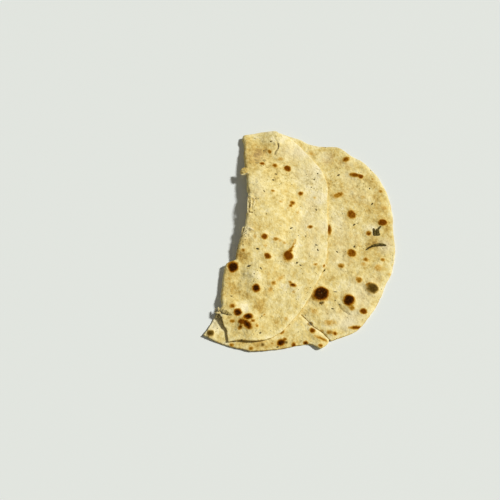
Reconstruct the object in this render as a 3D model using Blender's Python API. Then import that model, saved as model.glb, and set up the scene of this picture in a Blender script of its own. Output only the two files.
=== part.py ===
"""A chapati: a thin round of whole-wheat dough baked on a griddle, then folded over once.

The bread is one sheet. Most of it, the base, lies flat. The rest, the flap, is turned over along
a fold near the -X side and rests on the base, so that its baked underside faces up. The fold is
puffed, and a tear runs into it from the rim, which leaves a small flat corner behind the fold.
A second, shorter tear crosses the rim of the base.

The sheet is drawn flat, where a point is given by its reach from the fold (positive on the base,
negative on the flap) and by its y, and then every point is carried to where it lies once folded.
"""

import bisect
import math

import bmesh
import bpy
from mathutils import Vector
from mathutils.geometry import interpolate_bezier, intersect_point_line

MM = 0.001

# Driving dimensions, in millimetres.
THICKNESS = 1.7  # of the baked sheet
RIM_THICKNESS = 1.2  # close to its outer edge
RIM_TAPER = 7.0  # how far in the sheet is thinner
RIM_ROUND = 0.5  # how far in the edge is rounded off
RIM_EDGE = 0.55  # thickness left at the very edge, as a share of the rim's
LAYER_GAP = 0.5  # air between the base and the flap that rests on it
SLACK_RUN = 22.0  # over this much bread each layer takes up what the fold's bend used
DRAPE = 4.2  # how far from the fold the flap comes to rest, as a multiple of the fold's height
RIM_STEP = 4.5  # spacing of the points along the rim
ROW_STEP = 6.0  # spacing of the mesh's rows along the fold
SLICE_SNAP = 0.12  # a slice this close to a corner goes through it
PROBE = 0.05  # half the length over which the sheet's slope is read

# Where the fold's outermost line runs, as y and x.
FOLD_LINE = [
    (-92, -61.8),
    (-81, -61.0),
    (-70, -59.2),
    (-62, -56.8),
    (-54, -56.9),
    (-44, -57.6),
    (-29, -53.3),
    (-14, -47.8),
    (6, -42.2),
    (22, -39.6),
    (38, -39.9),
    (58, -42.0),
    (78, -43.8),
    (92, -41.8),
]

# How high the fold stands, as y and height.
FOLD_HEIGHT = [
    (-90, 3.9),
    (-80, 4.4),
    (-70, 5.6),
    (-61, 6.2),
    (-44, 4.4),
    (-30, 4.8),
    (-12, 7.4),
    (8, 10.0),
    (26, 10.8),
    (44, 9.6),
    (60, 7.2),
    (80, 4.6),
    (92, 4.0),
]

# Rims, as x and y of the folded bread. Each is joined by one smooth curve.
FOLD_END = (-42.2, 88.6)
BASE_RIM = [
    FOLD_END,
    (-30, 89.3),
    (-19, 90.6),
    (-10.5, 91),
    (-3.5, 88.6),
    (3, 86),
    (10, 81.6),
    (18, 79.3),
    (26, 78.7),
    (33.5, 76.8),
    (41.5, 69.8),
    (49, 65.3),
    (55, 58.3),
    (60.2, 50.2),
    (64.6, 40),
    (67.3, 29),
    (68.3, 15),
    (67.2, 0),
    (67.3, -13),
    (65.3, -24),
    (62, -35),
    (57, -43.5),
    (54, -51),
    (48.8, -60.2),
    (43.3, -67.7),
    (38, -74.3),
    (33.5, -78),
    (26.8, -80.9),
    (17.3, -84.2),
]
LOBE_RIM = [
    (15.9, -83.6),
    (14.6, -86.6),
    (9.6, -90.2),
    (3.3, -86.6),
    (-3.6, -87.4),
    (-10.3, -88.8),
    (-18, -90.2),
    (-28, -91.3),
    (-36, -91.5),
    (-43.5, -90.2),
    (-53.5, -87.2),
    (-61.6, -83.8),
    (-68.4, -80.5),
]
CORNER_LIP = [(-68.4, -80.5), (-63.9, -72.8), (-60.8, -67.3), (-59.2, -64.2)]
FLAP_LIP = [(-55.3, -62.2), (-53.9, -68.3), (-53.6, -73), (-51.9, -79), (-51.3, -85.6)]
FLAP_RIM = [
    (-51.3, -85.6),
    (-43.5, -84.9),
    (-31.6, -85.5),
    (-22.2, -82.8),
    (-16.8, -79.5),
    (-10.8, -73.4),
    (-5.5, -67.1),
    (0.7, -58.9),
    (6.3, -48.9),
    (10.5, -40.4),
    (16.6, -27),
    (19.1, -9),
    (20.6, 20),
    (21.7, 37),
    (20.5, 47),
    (17, 56),
    (11.8, 64.4),
    (2.2, 77.6),
    (-4.6, 84.5),
    (-10.8, 88.5),
    (-15, 90.9),
    (-20, 91.7),
    (-27.4, 91.6),
    (-36.5, 89.8),
    FOLD_END,
]

# The tear through the fold: where it ends, and how far its lips stand apart there.
TEAR_Y = -62.2
TEAR_REACH = 4.2
TEAR_WIDTH = 0.7
# The line between its lips, as y and reach: the corner lies on one side and the flap on the other.
TEAR_LINE = [(-86, -9.0), (-79, -7.8), (-73, -5.2), (-68, -3.4), (-64, -1.9), (-60, -1.2)]

# The short tear across the base's rim, from the rim to its end under the flap.
SLIT = [(16.6, -83.9), (11.3, -78.2), (5.2, -73.6), (0.6, -68), (-2.2, -65.2)]
SLIT_WIDTH = 0.5

# Places where the base lifts off what it lies on: x, y, radius and height.
LIFTS = [
    (70, -4, 22, 0.9),
    (38, 82, 24, 1.6),
    (64, 52, 16, 0.7),
    (-73, -84, 20, 1.2),
    (9, -92, 13, 1.5),
    (-36, -98, 26, 0.8),
    (50, -76, 22, 0.8),
]

# Low swellings of the flap: x, y, radius across, radius along the fold and height.
SWELLINGS = [
    (-17, 84, 17, 19, 2.6),
    (-14, 55, 20, 20, 0.9),
    (-30, 12, 16, 26, 0.8),
    (-24, -38, 20, 24, 0.9),
    (0, -14, 16, 22, 0.5),
]

BREAD_COLOUR = (0.76, 0.63, 0.28, 1.0)
SHARP_ANGLE = math.radians(40)

# Mesh slices across the fold, as a reach on either side of it: close at the bend, wider beyond.
SLICES = [0.0, 1.1, 2.2, 3.4, 4.8, 6.4, 8.2, 10.4, 13.2, 16.8, 21.2, 26.4, 32.4]
SLICE_STEP = 7.0


def along(stops, place):
    """The value at a place on the smooth curve through a list of stops."""
    places = [stop[0] for stop in stops]
    right = min(max(bisect.bisect(places, place), 1), len(stops) - 1)
    left = right - 1
    span = places[right] - places[left]
    t = min(max((place - places[left]) / span, 0.0), 1.0)

    def slope(i):
        before = stops[max(i - 1, 0)]
        after = stops[min(i + 1, len(stops) - 1)]
        return (after[1] - before[1]) / (after[0] - before[0])

    start = stops[left][1] * (1 + 2 * t) * (1 - t) ** 2 + slope(left) * span * t * (1 - t) ** 2
    end = stops[right][1] * (3 - 2 * t) * t**2 - slope(right) * span * (1 - t) * t**2
    return start + end


def ease(t):
    """From 0 to 1 with a level start and end."""
    t = min(max(t, 0.0), 1.0)
    return t * t * (3 - 2 * t)


def smooth_run(stops):
    """Points about RIM_STEP apart on the smooth curve through the stops, both ends included."""
    run = [Vector((*stop, 0)) for stop in stops]
    points = [run[0]]
    for i in range(len(run) - 1):
        start, end = run[i], run[i + 1]
        before = run[i - 1] if i else start
        after = run[i + 2] if i + 2 < len(run) else end
        pieces = max(1, round((end - start).length / RIM_STEP))
        handles = start + (end - before) / 6, end - (after - start) / 6
        points += interpolate_bezier(start, *handles, end, pieces + 1)[1:]
    return points


def on_base(points):
    """Folded places on the base as places on the flat sheet."""
    return [Vector((p.x - along(FOLD_LINE, p.y), p.y, 0)) for p in points]


def on_flap(points):
    """Folded places on the flap as places on the flat sheet."""
    return [Vector((along(FOLD_LINE, p.y) - p.x, p.y, 0)) for p in points]


def slit_lips():
    """The two sides of the short tear: in along one, out along the other, with a blunt end."""
    middle = [Vector((*stop, 0)) for stop in SLIT]
    one_side = []
    other_side = []
    for i in range(1, len(middle)):
        after = middle[min(i + 1, len(middle) - 1)]
        run = (after - middle[i - 1]).normalized()
        across = Vector((-run.y, run.x, 0)) * SLIT_WIDTH / 2
        one_side.append(middle[i] - across)
        other_side.append(middle[i] + across)
    return one_side, other_side[::-1]


def sheet_outline():
    """The flat sheet's rim, one way round, with both tears cut in."""
    slit_in, slit_out = slit_lips()
    outline = on_base(smooth_run(BASE_RIM) + slit_in + slit_out)
    outline += on_base(smooth_run(LOBE_RIM) + smooth_run(CORNER_LIP)[1:])
    outline.append(Vector((TEAR_REACH, TEAR_Y - TEAR_WIDTH, 0)))
    outline.append(Vector((TEAR_REACH, TEAR_Y, 0)))
    outline += on_flap(smooth_run(FLAP_LIP) + smooth_run(FLAP_RIM)[1:-1])
    return outline


def is_flap(reach, y):
    """Whether a point of the flat sheet is on the part that folds over."""
    return reach < (0 if y > TEAR_Y - TEAR_WIDTH / 2 else along(TEAR_LINE, y))


def lift_at(x, y):
    """How far the base stands off the surface it lies on."""
    return sum(
        height * ease(1 - math.hypot(x - near_x, y - near_y) / radius)
        for near_x, near_y, radius, height in LIFTS
    )


def swelling_at(x, y):
    """How far the flap swells above where it would rest."""
    return sum(
        height * ease(1 - math.hypot((x - near_x) / across, (y - near_y) / length))
        for near_x, near_y, across, length, height in SWELLINGS
    )


def middle_at(reach, y, flap):
    """Where a point on the sheet's middle layer lies once the bread is folded."""
    edge = along(FOLD_LINE, y)
    level = THICKNESS / 2
    if not flap and y < TEAR_Y - TEAR_WIDTH / 2:
        x = edge + reach
        return Vector((x, y, level + lift_at(x, y)))
    rise = along(FOLD_HEIGHT, y) - THICKNESS
    radius = rise / 2
    bend = radius * math.pi / 2
    beyond = abs(reach) - bend
    if beyond < 0:
        turn = reach / radius
        x = edge + radius * (1 - math.cos(turn))
        return Vector((x, y, level + radius * (1 - math.sin(turn)) + lift_at(x, y)))
    x = edge + radius + beyond + (bend - radius) * ease(beyond / SLACK_RUN)
    z = level + lift_at(x, y)
    if flap:
        rest = THICKNESS + LAYER_GAP
        z += rest + (rise - rest) * (1 - ease(beyond / (DRAPE * rise)))
        z += swelling_at(x, y) * ease(beyond / SLACK_RUN)
    return Vector((x, y, z))


def gap_to_rim(point, rim):
    """How far a flat point is from the rim, tears included."""

    def gap_to(start, end):
        share = intersect_point_line(point, start, end)[1]
        return (point - start.lerp(end, min(max(share, 0.0), 1.0))).length

    return min(gap_to(start, end) for start, end in zip(rim, rim[1:] + rim[:1]))


def folded(point, rim):
    """A point of the flat slab's top or bottom, carried to its place on the folded bread."""
    reach, y, side = point
    flap = is_flap(reach, y)
    gap = gap_to_rim(Vector((reach, y, 0)), rim)
    thickness = RIM_THICKNESS + (THICKNESS - RIM_THICKNESS) * ease(gap / RIM_TAPER)
    middle = middle_at(reach, y, flap)
    middle.z -= (THICKNESS - thickness) / 2
    across = middle_at(reach + PROBE, y, flap) - middle_at(reach - PROBE, y, flap)
    length = middle_at(reach, y + PROBE, flap) - middle_at(reach, y - PROBE, flap)
    if gap < RIM_ROUND / 2:
        thickness *= RIM_EDGE
    return middle + across.cross(length).normalized() * math.copysign(thickness / 2, side)


def slice_sheet(bm, place, normal):
    """Cuts every face of the flat sheet along one straight line."""
    geometry = bm.verts[:] + bm.edges[:] + bm.faces[:]
    bmesh.ops.bisect_plane(bm, geom=geometry, plane_co=place, plane_no=normal, dist=SLICE_SNAP)


def flat_slab(outline):
    """The unfolded sheet, one unit thick about z = 0 and sliced finely enough to fold."""
    bm = bmesh.new()
    sheet = bm.faces.new([bm.verts.new(point) for point in outline])
    bmesh.ops.inset_region(
        bm, faces=[sheet], thickness=RIM_ROUND, use_boundary=True, use_even_offset=True
    )
    reaches = SLICES[:]
    while reaches[-1] < max(abs(point.x) for point in outline):
        reaches.append(reaches[-1] + SLICE_STEP)
    for reach in sorted({side * reach for reach in reaches for side in (-1, 1)}):
        slice_sheet(bm, (reach, 0, 0), (1, 0, 0))
    rows = int(max(abs(point.y) for point in outline) / ROW_STEP)
    for row in range(-rows, rows + 1):
        slice_sheet(bm, (0, row * ROW_STEP, 0), (0, 1, 0))
    bmesh.ops.triangulate(bm, faces=bm.faces[:])
    bmesh.ops.solidify(bm, geom=bm.faces[:], thickness=1.0)
    bmesh.ops.recalc_face_normals(bm, faces=bm.faces[:])
    middle = (min(v.co.z for v in bm.verts) + max(v.co.z for v in bm.verts)) / 2
    bmesh.ops.translate(bm, verts=bm.verts[:], vec=(0, 0, -middle))
    return bm


def rest_on_origin(bm):
    """Moves the bread so that the middle of its box stands on the origin."""
    lows = [min(v.co[axis] for v in bm.verts) for axis in range(3)]
    highs = [max(v.co[axis] for v in bm.verts) for axis in range(3)]
    to_middle = Vector((-(lows[0] + highs[0]) / 2, -(lows[1] + highs[1]) / 2, -lows[2]))
    bmesh.ops.translate(bm, verts=bm.verts[:], vec=to_middle)


def baked_dough():
    """Whole-wheat dough baked dry: pale yellow, matt, with no gloss."""
    material = bpy.data.materials.new("baked_dough")
    material.use_nodes = True
    shader = material.node_tree.nodes["Principled BSDF"]
    shader.inputs["Base Color"].default_value = BREAD_COLOUR
    shader.inputs["Roughness"].default_value = 0.9
    shader.inputs["Metallic"].default_value = 0.0
    return material


def chapati():
    """The whole bread: one sheet, cut, folded over and stood on the origin."""
    outline = sheet_outline()
    bm = flat_slab(outline)
    for vert in bm.verts:
        vert.co = folded(vert.co, outline)
    bmesh.ops.scale(bm, verts=bm.verts[:], vec=(MM, MM, MM))
    rest_on_origin(bm)
    mesh = bpy.data.meshes.new("chapati")
    bm.to_mesh(mesh)
    bm.free()
    mesh.shade_smooth()
    mesh.set_sharp_from_angle(angle=SHARP_ANGLE)
    mesh.materials.append(baked_dough())
    bread = bpy.data.objects.new("chapati", mesh)
    bpy.context.scene.collection.objects.link(bread)


for old in list(bpy.data.objects):
    bpy.data.objects.remove(old)
chapati()
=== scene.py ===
"""A chapati folded over once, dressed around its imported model."""

import bisect
import math
import random

import bmesh
import bpy
from mathutils import Matrix, Vector, noise
from mathutils.bvhtree import BVHTree
from mathutils.geometry import interpolate_bezier
from mathutils.kdtree import KDTree


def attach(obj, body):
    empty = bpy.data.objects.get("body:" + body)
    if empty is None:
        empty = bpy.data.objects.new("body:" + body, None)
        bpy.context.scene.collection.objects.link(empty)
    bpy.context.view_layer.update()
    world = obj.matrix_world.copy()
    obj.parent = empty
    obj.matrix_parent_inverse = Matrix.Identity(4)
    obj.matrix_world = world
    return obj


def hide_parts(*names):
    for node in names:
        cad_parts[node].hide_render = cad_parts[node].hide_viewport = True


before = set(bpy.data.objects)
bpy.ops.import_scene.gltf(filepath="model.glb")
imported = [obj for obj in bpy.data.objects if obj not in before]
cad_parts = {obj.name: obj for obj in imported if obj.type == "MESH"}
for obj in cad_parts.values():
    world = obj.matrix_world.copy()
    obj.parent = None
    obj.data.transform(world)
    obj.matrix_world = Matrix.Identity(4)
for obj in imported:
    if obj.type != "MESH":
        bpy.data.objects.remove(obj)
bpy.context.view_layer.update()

# ---------------------------------------------------------------------------------------------
# The bread: one round of whole-wheat dough, rolled under two millimetres thin and baked on dry
# iron. The base lies flat and the flap is folded over it, which puffs the fold. One tear runs
# into the fold from the rim, and a shorter one crosses the rim of the base.
# ---------------------------------------------------------------------------------------------

# Lengths are in millimetres until a piece is finished. A place on the flat, unfolded sheet is
# its reach from the fold, positive on the base and negative on the flap, and its y.
MM = 0.001
THICKNESS = 1.7
RIM_THICKNESS = 1.2
RIM_TAPER = 7.0
RIM_LOOPS = [0.22, 0.34]  # widths of the loops of faces that round the rim
RIM_SHARES = [(0.0, 0.5), (0.22, 0.76), (0.56, 0.92), (1.3, 0.98), (2.4, 1.0)]  # of thickness
LAYER_GAP = 0.5
SLACK_RUN = 22.0
DRAPE = 4.2
RIM_STEP = 1.0
WANDER_SEED = 5
RIM_WANDER = 0.32
TORN_WANDER = 0.5
ROW_STEP = 0.9
SLICE_SNAP = 0.07
PROBE = 0.05
BEND_CORNER = 1.3  # the bend's section is a square with corners of this radius


noise.seed_set(WANDER_SEED)


def curve_through(stops):
    """A smooth curve through pairs of place and value, as a function of the place."""
    places = [place for place, value in stops]
    values = [value for place, value in stops]
    last = len(stops) - 1
    slopes = []
    for i in range(last + 1):
        before, after = max(i - 1, 0), min(i + 1, last)
        slopes.append((values[after] - values[before]) / (places[after] - places[before]))

    def value_at(place):
        right = min(max(bisect.bisect(places, place), 1), last)
        left = right - 1
        span = places[right] - places[left]
        t = min(max((place - places[left]) / span, 0.0), 1.0)
        start = (values[left] * (1 + 2 * t) + slopes[left] * span * t) * (1 - t) ** 2
        end = (values[right] * (3 - 2 * t) - slopes[right] * span * (1 - t)) * t**2
        return start + end

    return value_at


def ease(t):
    """From 0 to 1 with a level start and end."""
    t = min(max(t, 0.0), 1.0)
    return t * t * (3 - 2 * t)


rim_round = curve_through(RIM_SHARES)
fold_line = curve_through([
    (-92, -61.8), (-81, -61.0), (-70, -59.2), (-64, -57.2), (-60, -55.6), (-55, -55.9),
    (-50, -56.2), (-45, -55.7), (-39, -55.1), (-34, -54.5), (-30, -53.8), (-27.4, -52.5),
    (-25.6, -48.4), (-23.6, -46.4), (-20.5, -46.2), (-17.9, -45.8), (-14, -44.6), (-6, -42.4),
    (1, -40.3), (6, -39.3), (12, -38.3), (20, -37.7), (27, -37.2), (31, -37.3), (38, -38.3),
    (47, -38.5), (56, -39.8), (66, -40.5), (70, -41.2), (73.5, -40.6), (80, -41.0), (86, -42.0),
    (92, -41.8),
])
fold_height = curve_through([
    (-90, 3.9), (-80, 4.4), (-70, 5.6), (-61, 6.2), (-44, 4.4), (-30, 4.8), (-12, 7.4),
    (8, 9.6), (26, 10.1), (44, 9.2), (60, 7.2), (80, 4.6), (92, 4.0),
])

# The rims, as x and y of the folded bread.
FOLD_END = (-42.2, 88.6)
BASE_RIM = [
    FOLD_END, (-30, 89.3), (-19, 90.6), (-10.5, 91), (-3.5, 88.6), (3, 86), (10, 81.6),
    (18, 79.3), (26, 78.7), (33.5, 76.8), (41.5, 69.8), (49, 65.3), (55, 58.3), (60.2, 50.2),
    (64.6, 40), (67.3, 29), (68.3, 15), (67.2, 0), (67.3, -13), (65.3, -24), (62, -35),
    (57, -43.5), (54, -51), (48.8, -60.2), (43.3, -67.7), (38, -74.3), (33.5, -78),
    (26.8, -80.9), (17.3, -84.2),
]
LOBE_RIM = [
    (15.9, -83.6), (14.6, -86.6), (9.6, -90.2), (3.3, -86.6), (-3.6, -87.4), (-10.3, -88.8),
    (-18, -90.2), (-28, -91.3), (-36, -91.5), (-43.5, -90.2), (-53.5, -87.2), (-61.6, -83.8),
    (-68.4, -80.5),
]
CORNER_LIP = [(-68.4, -80.5), (-63.9, -72.8), (-60.8, -67.3), (-59.2, -64.2)]
FLAP_LIP = [
    (-55.3, -62.2), (-55.0, -65.2), (-54.0, -71.2), (-53.4, -74.8), (-52.1, -76.4),
    (-51.5, -81.2), (-51.3, -85.6),
]
FLAP_RIM = [
    (-51.3, -85.6), (-43.5, -84.9), (-31.6, -85.5), (-22.2, -82.8), (-16.8, -79.5),
    (-10.8, -73.4), (-5.5, -67.1), (0.7, -58.9), (6.3, -48.9), (10.5, -40.4), (16.6, -27),
    (19.1, -9), (20.6, 20), (21.7, 37), (20.5, 47), (17, 56), (11.8, 64.4), (2.2, 77.6),
    (-4.6, 84.5), (-10.8, 88), (-14.6, 89.4), (-16.3, 91.3), (-20, 91.7), (-27.4, 91.5),
    (-36.5, 89.8),
    FOLD_END,
]

TEAR_Y = -62.2
TEAR_REACH = 4.2
TEAR_WIDTH = 0.7
tear_line = curve_through([
    (-86, -9.0), (-79, -7.8), (-73, -5.2), (-68, -3.4), (-64, -1.9), (-60, -1.2),
])
SLIT = [(16.6, -83.9), (11.3, -78.2), (5.2, -73.6), (0.6, -68), (-2.2, -65.2)]
SLIT_WIDTH = 0.28
SLIT_WANDER = 0.35

# Where the skin has split: x, y, radius across and radius along the fold.
SPLIT_PLACES = [(-36.8, 18, 4.6, 10), (-39.6, -4, 5.0, 4.6), (-15.8, 76, 3.0, 6.5)]
FINE_CUTS = 2

# Places where the base lifts off what it lies on: x, y, radius and height.
LIFTS = [
    (70, -4, 22, 0.9), (38, 82, 24, 1.6), (64, 52, 16, 0.7), (-73, -84, 20, 1.2),
    (9, -92, 13, 1.5), (-36, -98, 26, 0.8), (50, -76, 22, 0.8),
]
# Low swellings of the flap: x, y, radius across, radius along the fold and height.
SWELLINGS = [
    (-24, -8, 42, 54, 1.7), (-16, 86, 19, 24, 2.7), (-14, 52, 20, 20, 0.9),
    (-26, 12, 18, 26, 0.5),
    (-34, -36, 21, 28, 2.2), (-36, -68, 16, 22, 1.4), (2, -14, 15, 24, 0.3),
    (-36, -88, 17, 10, 1.1),
]


def wander_at(point, amount):
    """A small sideways shift that differs from place to place, as a hand-rolled edge has."""
    drift = noise.noise_vector(point / 7.0) + 0.6 * noise.noise_vector(point / 2.6)
    drift += 0.4 * noise.noise_vector(point / 1.5)
    return Vector((drift.x, drift.y, 0)) * amount


def uneven_run(stops, amount):
    """Points RIM_STEP apart on the smooth curve through the stops, each a little off it."""
    run = [Vector((*stop, 0)) for stop in stops]
    points = [run[0]]
    for i in range(len(run) - 1):
        start, end = run[i], run[i + 1]
        before = run[i - 1] if i else start
        after = run[i + 2] if i + 2 < len(run) else end
        pieces = max(1, round((end - start).length / RIM_STEP))
        handles = start + (end - before) / 6, end - (after - start) / 6
        points += interpolate_bezier(start, *handles, end, pieces + 1)[1:]
    return [point + wander_at(point, amount) for point in points]


def on_base(points):
    """Folded places on the base as places on the flat sheet."""
    return [Vector((p.x - fold_line(p.y), p.y, 0)) for p in points]


def on_flap(points):
    """Folded places on the flap as places on the flat sheet."""
    return [Vector((fold_line(p.y) - p.x, p.y, 0)) for p in points]


def slit_lips():
    """The two sides of the short tear: in along one, out along the other, with a blunt end."""
    middle = uneven_run(SLIT, SLIT_WANDER)
    one_side = []
    other_side = []
    for i in range(1, len(middle)):
        after = middle[min(i + 1, len(middle) - 1)]
        run = (after - middle[i - 1]).normalized()
        across = Vector((-run.y, run.x, 0)) * SLIT_WIDTH / 2
        one_side.append(middle[i] - across)
        other_side.append(middle[i] + across)
    return one_side, other_side[::-1]


def sheet_outline():
    """The flat sheet's rim, one way round, with both tears cut in."""
    slit_in, slit_out = slit_lips()
    outline = on_base(uneven_run(BASE_RIM, RIM_WANDER) + slit_in + slit_out)
    outline += on_base(uneven_run(LOBE_RIM, RIM_WANDER) + uneven_run(CORNER_LIP, TORN_WANDER)[1:])
    outline.append(Vector((TEAR_REACH, TEAR_Y - TEAR_WIDTH, 0)))
    outline.append(Vector((TEAR_REACH, TEAR_Y, 0)))
    outline += on_flap(uneven_run(FLAP_LIP, TORN_WANDER) + uneven_run(FLAP_RIM, RIM_WANDER)[1:-1])
    return outline


def slice_reaches(furthest):
    """Where the sheet is sliced along the fold: closely at the bend, more widely beyond it."""
    reaches = [0.0]
    while reaches[-1] < furthest:
        reaches.append(reaches[-1] + 0.34 + 0.56 * ease(reaches[-1] / 12.0))
    return sorted({side * reach for reach in reaches for side in (-1, 1)})


def slice_sheet(bm, place, normal):
    geometry = bm.verts[:] + bm.edges[:] + bm.faces[:]
    bmesh.ops.bisect_plane(bm, geom=geometry, plane_co=place, plane_no=normal, dist=SLICE_SNAP)


def in_fine_patch(place):
    """Whether a flat place is among the splits in the skin, which need smaller faces."""
    return any(
        math.hypot((place.x - reach) / across, (place.y - y) / along) < 1
        for reach, y, across, along in fine_patches
    )


def flat_slab(outline):
    """The unfolded sheet, one unit thick about z = 0 and sliced finely enough to fold."""
    bm = bmesh.new()
    sheet = bm.faces.new([bm.verts.new(point) for point in outline])
    for width in RIM_LOOPS:
        bmesh.ops.inset_region(
            bm, faces=[sheet], thickness=width, use_boundary=True, use_even_offset=True
        )
    rows = int(max(abs(point.y) for point in outline) / ROW_STEP)
    for row in range(-rows, rows + 1):
        slice_sheet(bm, (0, row * ROW_STEP, 0), (0, 1, 0))
    for reach in slice_reaches(max(abs(point.x) for point in outline)):
        slice_sheet(bm, (reach, 0, 0), (1, 0, 0))
    fine = [edge for edge in bm.edges if all(in_fine_patch(vert.co) for vert in edge.verts)]
    bmesh.ops.subdivide_edges(bm, edges=fine, cuts=FINE_CUTS, use_grid_fill=True)
    many_sided = [face for face in bm.faces if len(face.verts) > 4]
    bmesh.ops.triangulate(bm, faces=many_sided)
    bmesh.ops.solidify(bm, geom=bm.faces[:], thickness=1.0)
    bmesh.ops.recalc_face_normals(bm, faces=bm.faces[:])
    middle = (min(v.co.z for v in bm.verts) + max(v.co.z for v in bm.verts)) / 2
    bmesh.ops.translate(bm, verts=bm.verts[:], vec=(0, 0, -middle))
    return bm


def is_flap(reach, y):
    return reach < (0 if y > TEAR_Y - TEAR_WIDTH / 2 else tear_line(y))


def bend_length(radius):
    """How long a quarter of the bend is: half a side, a corner and half the top."""
    corner = min(BEND_CORNER, radius)
    return 2 * (radius - corner) + corner * math.pi / 2


def bend_place(run, radius):
    """How far inwards and up a run along a quarter of the bend reaches."""
    corner = min(BEND_CORNER, radius)
    side = radius - corner
    turn = min(max((run - side) / corner, 0.0), math.pi / 2)
    top = max(run - side - corner * math.pi / 2, 0.0)
    return corner * (1 - math.cos(turn)) + top, min(run, side) + corner * math.sin(turn)


def lift_at(x, y):
    return sum(
        height * ease(1 - math.hypot(x - near_x, y - near_y) / radius)
        for near_x, near_y, radius, height in LIFTS
    )


def swelling_at(x, y):
    return sum(
        height * ease(1 - math.hypot((x - near_x) / across, (y - near_y) / length))
        for near_x, near_y, across, length, height in SWELLINGS
    )


def middle_at(reach, y, flap):
    """Where a point on the sheet's middle layer lies once the bread is folded."""
    edge = fold_line(y)
    level = THICKNESS / 2
    if not flap and y < TEAR_Y - TEAR_WIDTH / 2:
        x = edge + reach
        return Vector((x, y, level + lift_at(x, y)))
    rise = fold_height(y) - THICKNESS
    radius = rise / 2
    bend = bend_length(radius)
    beyond = abs(reach) - bend
    if beyond < 0:
        inwards, up = bend_place(abs(reach), radius)
        z = level + radius + math.copysign(up, -reach)
        return Vector((edge + inwards, y, z + lift_at(edge + inwards, y)))
    x = edge + radius + beyond + (bend - radius) * ease(beyond / SLACK_RUN)
    z = level + lift_at(x, y)
    if flap:
        rest = THICKNESS + LAYER_GAP
        z += rest + (rise - rest) * (1 - ease(beyond / (DRAPE * rise)))
        z += swelling_at(x, y) * ease(beyond / SLACK_RUN)
    return Vector((x, y, z))


def folded(reach, y, gap):
    """The folded sheet's middle there, which way its inner face looks, and its thickness."""
    flap = is_flap(reach, y)
    thickness = RIM_THICKNESS + (THICKNESS - RIM_THICKNESS) * ease(gap / RIM_TAPER)
    middle = middle_at(reach, y, flap)
    middle.z -= (THICKNESS - thickness) / 2
    across = middle_at(reach + PROBE, y, flap) - middle_at(reach - PROBE, y, flap)
    length = middle_at(reach, y + PROBE, flap) - middle_at(reach, y - PROBE, flap)
    return middle, across.cross(length).normalized(), thickness * rim_round(gap)


def flat_place(x, y, flap):
    """The place on the flat sheet that the fold carries to x, y."""
    if not flap and y < TEAR_Y:
        return Vector((x - fold_line(y), y, 0))
    side = -1 if flap else 1
    reach = max(x - fold_line(y), 0.5)
    for _ in range(14):
        reach = max(reach + x - middle_at(side * reach, y, flap).x, 0.0)
    return Vector((side * reach, y, 0))


# What the griddle left: x, y, length, width and turn in degrees of each spot, by how far it
# is baked. The flap shows the face that baked first, and the base the other one.
FLAP_SPOTS = {
    "charred": [
        (-48.6, -30.4, 8.3, 7.0, 80), (-32.7, -47.3, 6.0, 4.8, 95), (-45.2, -65.2, 5.3, 5.0, 0),
        (-38.1, -68.6, 6.0, 4.5, 0), (-38.8, -74.3, 7.8, 4.0, -46), (-7.1, -44.3, 4.2, 2.5, -20),
    ],
    "dark": [
        (-8.4, 55.3, 5.8, 5.4, -70), (-9.8, -21.6, 7.8, 6.2, 92), (-26.6, -6.7, 4.6, 4.3, 0),
        (-24.6, -22.1, 5.6, 4.2, -55), (-42.8, -72.2, 4.6, 3.6, -20), (-27.7, 58.4, 3.8, 2.8, 0),
    ],
    "smoky": [],
    "brown": [
        (-21.6, 71.6, 3.8, 2.7, -60), (-18.1, 57.2, 4.8, 3.7, 95), (-43.3, -76.1, 3.8, 2.8, 40),
        (0.9, 32.3, 4.3, 3.6, 40), (-5.8, 22.8, 4.0, 3.4, 0), (6.8, 3.2, 3.8, 2.8, 0),
        (15.4, -28.6, 2.8, 1.7, 60), (-7.3, 20.1, 2.8, 2.4, 0), (-8.2, -17.3, 4.4, 2.8, 65),
        (-8.9, -42.2, 3.2, 1.7, -55), (-6.8, -14.7, 2.8, 1.6, 50), (-49.0, -60.9, 3.7, 3.4, 0),
        (-48.9, -71.4, 3.2, 2.6, 0), (-34.9, -71.7, 2.6, 2.2, 0),
    ],
    "toasted": [
        (-20, 31.8, 2.8, 2.5, 0), (-18.6, -8.2, 3.6, 3.0, 0), (9.3, -27.7, 2.6, 2.1, 0),
        (-20.7, -43.1, 3.4, 2.9, 0), (-32.5, -75, 2.5, 2.3, 0), (-41.8, -17.6, 3.0, 2.7, 0),
        (-27.3, -66.8, 1.6, 1.5, 0), (-5.6, -11.9, 2.6, 1.5, 70),
    ],
    "faint": [
        (-13.4, 64.7, 5.4, 3.6, 0), (11.4, 28.8, 2.4, 2.2, 0), (-2.1, 15.2, 2.8, 2.4, 0),
        (-9.4, 17.7, 1.9, 1.7, 0), (-33.5, -6.9, 2.4, 4.0, 0), (-15.8, -38.8, 7.4, 3.5, 42),
        (-12.6, -69.6, 3.4, 3.0, 0), (-4.6, -9.4, 4.0, 2.0, 80), (-6.8, -49.3, 2.8, 2.4, 0),
        (-39.7, -73.2, 11.4, 7.4, -42), (-26.1, 74.1, 2.0, 1.6, 0), (-26, -13.6, 3.0, 2.2, 0),
        (-12.6, -11, 3.4, 2.4, -40), (-10.2, -22.5, 9.8, 8.2, 90), (-22.8, -47.6, 5.4, 3.6, 60),
        (-14.4, 22.6, 3.2, 2.4, 0), (-15.6, -9.3, 3.0, 2.6, 0),
    ],
}
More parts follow.
